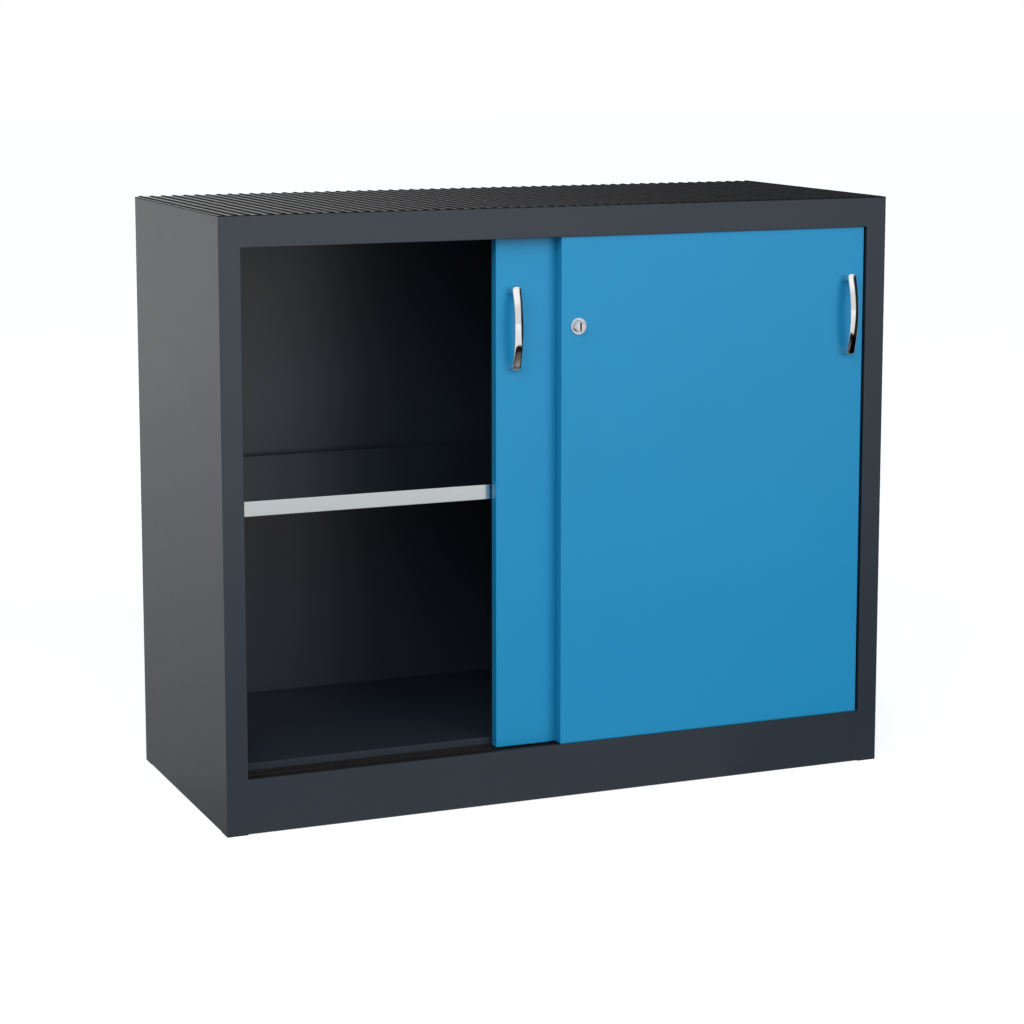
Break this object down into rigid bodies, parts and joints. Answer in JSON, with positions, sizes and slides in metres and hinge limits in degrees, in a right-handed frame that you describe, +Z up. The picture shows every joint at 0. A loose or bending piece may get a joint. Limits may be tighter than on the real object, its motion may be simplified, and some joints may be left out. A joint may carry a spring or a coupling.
{
  "type": "sliding door cabinet",
  "caption": "Low steel cabinet with sliding doors in separate lanes, bow handles, a push lock, a galvanised shelf and a ribbed rubber mat on the top.",
  "frame": {"origin": "centre of the whole part's base box, on the surface that the feet stand on", "axes": "+X to the right along the front, +Y from the front to the back, +Z up"},
  "size_m": [1.2, 0.5242, 1.0041],
  "materials": {
    "body": "smooth anthracite powder coat, low sheen",
    "door": "smooth light blue powder coat, half gloss",
    "galvanised": "galvanised sheet, soft metallic sheen",
    "zinc": "zinc plated",
    "rubber": "ribbed matt black rubber",
    "plastic": "black moulded plastic",
    "nylon": "natural nylon",
    "chrome": "polished chrome plate",
    "nickel": "satin nickel plate"
  },
  "bodies": {
    "cabinet": {"left_side_panel": "body", "right_side_panel": "body", "left_front_post": "body", "right_front_post": "body", "header_rail": "body", "plinth_rail": "body", "top_panel": "body", "bottom_panel": "body", "back_panel": "body", "ribbed_top_mat": "rubber", "front_left_foot": "plastic", "front_right_foot": "plastic", "rear_left_foot": "plastic", "rear_right_foot": "plastic", "front_left_shelf_strip": "body", "front_right_shelf_strip": "body", "rear_left_shelf_strip": "body", "rear_right_shelf_strip": "body", "front_left_shelf_clip": "zinc", "front_right_shelf_clip": "zinc", "rear_left_shelf_clip": "zinc", "rear_right_shelf_clip": "zinc", "shelf": "galvanised", "lower_door_track": "plastic", "upper_door_guide": "plastic", "front_lane_stop": "rubber", "rear_lane_stop": "rubber", "front_door_buffer": "rubber", "rear_door_buffer": "rubber"},
    "front_door": {"front_door_skin": "door", "front_door_inner_pan": "door", "front_door_stiffener": "zinc", "front_door_handle": "chrome", "front_door_lower_handle_screw": "zinc", "front_door_upper_handle_screw": "zinc", "front_door_left_roller_bracket": "zinc", "front_door_right_roller_bracket": "zinc", "front_door_left_glide": "plastic", "front_door_right_glide": "plastic", "lock_housing": "nickel", "lock_nut": "zinc"},
    "rear_door": {"rear_door_skin": "door", "rear_door_inner_pan": "door", "rear_door_stiffener": "zinc", "rear_door_handle": "chrome", "rear_door_lower_handle_screw": "zinc", "rear_door_upper_handle_screw": "zinc", "rear_door_left_roller_bracket": "zinc", "rear_door_right_roller_bracket": "zinc", "rear_door_left_glide": "plastic", "rear_door_right_glide": "plastic", "lock_strike": "zinc"},
    "front_door_left_roller": {"front_door_left_roller": "nylon"},
    "front_door_right_roller": {"front_door_right_roller": "nylon"},
    "rear_door_left_roller": {"rear_door_left_roller": "nylon"},
    "rear_door_right_roller": {"rear_door_right_roller": "nylon"},
    "lock_cylinder": {"lock_cylinder": "nickel"},
    "lock_plug": {"lock_plug": "nickel"}
  },
  "joints": [
    {"name": "front_door_slide", "type": "slide", "parent": "cabinet", "child": "front_door", "axis": [1, 0, 0], "range_m": [-0.068, 0]},
    {"name": "rear_door_slide", "type": "slide", "parent": "cabinet", "child": "rear_door", "axis": [1, 0, 0], "range_m": [-0.44, 0]},
    {"name": "front_door_left_roller_spin", "type": "hinge", "parent": "front_door", "child": "front_door_left_roller", "pos_m": [0.058, -0.2249, 0.09845], "axis": [0, 1, 0], "range_deg": [-487.02, 0]},
    {"name": "front_door_right_roller_spin", "type": "hinge", "parent": "front_door", "child": "front_door_right_roller", "pos_m": [0.49, -0.2249, 0.09845], "axis": [0, 1, 0], "range_deg": [-487.02, 0]},
    {"name": "rear_door_left_roller_spin", "type": "hinge", "parent": "rear_door", "child": "rear_door_left_roller", "pos_m": [-0.05, -0.2019, 0.09845], "axis": [0, 1, 0], "range_deg": [-3151.3, 0]},
    {"name": "rear_door_right_roller_spin", "type": "hinge", "parent": "rear_door", "child": "rear_door_right_roller", "pos_m": [0.382, -0.2019, 0.09845], "axis": [0, 1, 0], "range_deg": [-3151.3, 0]},
    {"name": "lock_press", "type": "slide", "parent": "front_door", "child": "lock_cylinder", "axis": [0, 1, 0], "range_m": [0, 0.0085], "stiffness_N_per_m": 400},
    {"name": "lock_turn", "type": "hinge", "parent": "lock_cylinder", "child": "lock_plug", "pos_m": [0.019, -0.2439, 0.802], "axis": [0, 1, 0], "range_deg": [0, 90]}
  ],
  "couplings": [
    {"joint": "front_door_left_roller_spin", "follows": "front_door_slide", "rad_per_m": 125},
    {"joint": "front_door_right_roller_spin", "follows": "front_door_slide", "rad_per_m": 125},
    {"joint": "rear_door_left_roller_spin", "follows": "rear_door_slide", "rad_per_m": 125},
    {"joint": "rear_door_right_roller_spin", "follows": "rear_door_slide", "rad_per_m": 125}
  ]
}
